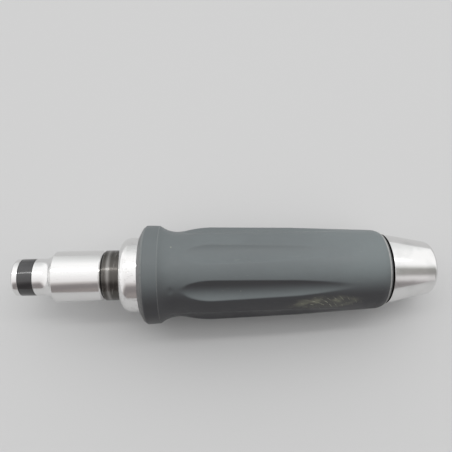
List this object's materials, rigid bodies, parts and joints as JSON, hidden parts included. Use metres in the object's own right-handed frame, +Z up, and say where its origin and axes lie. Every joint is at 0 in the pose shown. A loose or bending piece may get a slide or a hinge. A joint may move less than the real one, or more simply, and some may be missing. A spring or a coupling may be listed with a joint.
{
  "type": "hand impact driver",
  "caption": "Hammer-struck driver: a steel body in a fluted rubber grip, whose sprung square drive turns a little at each blow, with a pull-off hexagonal bit holder.",
  "frame": {"origin": "centre of the bit socket's mouth, at the front end of the bit holder", "axes": "+X back along the tool's axis to the striking face, +Z up, square to a flat of the bit socket"},
  "size_m": [0.1818, 0.043, 0.043],
  "materials": {
    "holder_chrome": "satin",
    "band_black": "gloss",
    "ball_steel": "polished",
    "spindle_steel": "satin, dark",
    "collar_chrome": "gloss",
    "grip_rubber": "matte, scuffed",
    "body_steel": "satin",
    "pin_steel": "ground",
    "washer_steel": "satin",
    "seal_rubber": "matte",
    "bush_bronze": "satin",
    "gasket_fibre": "matte",
    "spring_steel": "oiled"
  },
  "bodies": {
    "housing": {"cam_pin_1": "pin_steel", "cam_pin_2": "pin_steel", "front_collar": "collar_chrome", "neck_seal": "seal_rubber", "collar_bush": "bush_bronze", "bumper_ring": "seal_rubber", "thrust_washer": "washer_steel", "collar_gasket": "gasket_fibre", "return_spring": "spring_steel", "spring_washer": "washer_steel", "striking_body": "body_steel", "grip": "grip_rubber"},
    "pusher": {"spring_seat": "washer_steel", "thrust_disc": "bush_bronze"},
    "spindle": {"spindle": "spindle_steel", "drive_ball_spring": "spring_steel"},
    "bit_holder": {"bit_holder": "holder_chrome", "bit_retaining_band": "band_black"},
    "drive_ball": {"drive_ball": "ball_steel"},
    "bit_ball": {"bit_retaining_ball": "ball_steel"}
  },
  "joints": [
    {"name": "spindle_stroke", "type": "slide", "parent": "housing", "child": "pusher", "axis": [1, 0, 0], "range_m": [0, 0.0065], "stiffness_N_per_m": 18000, "springref_m": -0.0005, "deforming": ["return_spring"]},
    {"name": "spindle_turn", "type": "hinge", "parent": "pusher", "child": "spindle", "pos_m": [0.079, 0, 0], "axis": [1, 0, 0], "range_deg": [0, 20]},
    {"name": "holder_pull", "type": "slide", "parent": "spindle", "child": "bit_holder", "axis": [-1, 0, 0], "range_m": [0, 0.0155]},
    {"name": "drive_ball_press", "type": "slide", "parent": "spindle", "child": "drive_ball", "axis": [0, 0, -1], "range_m": [0, 0.0008], "stiffness_N_per_m": 4000, "deforming": ["drive_ball_spring"]},
    {"name": "bit_ball_lift", "type": "slide", "parent": "bit_holder", "child": "bit_ball", "axis": [0, 0, 1], "range_m": [0, 0.00045], "stiffness_N_per_m": 2000, "deforming": ["bit_retaining_band"]}
  ],
  "couplings": [
    {"joint": "spindle_turn", "follows": "spindle_stroke", "rad_per_m": 53.7}
  ]
}
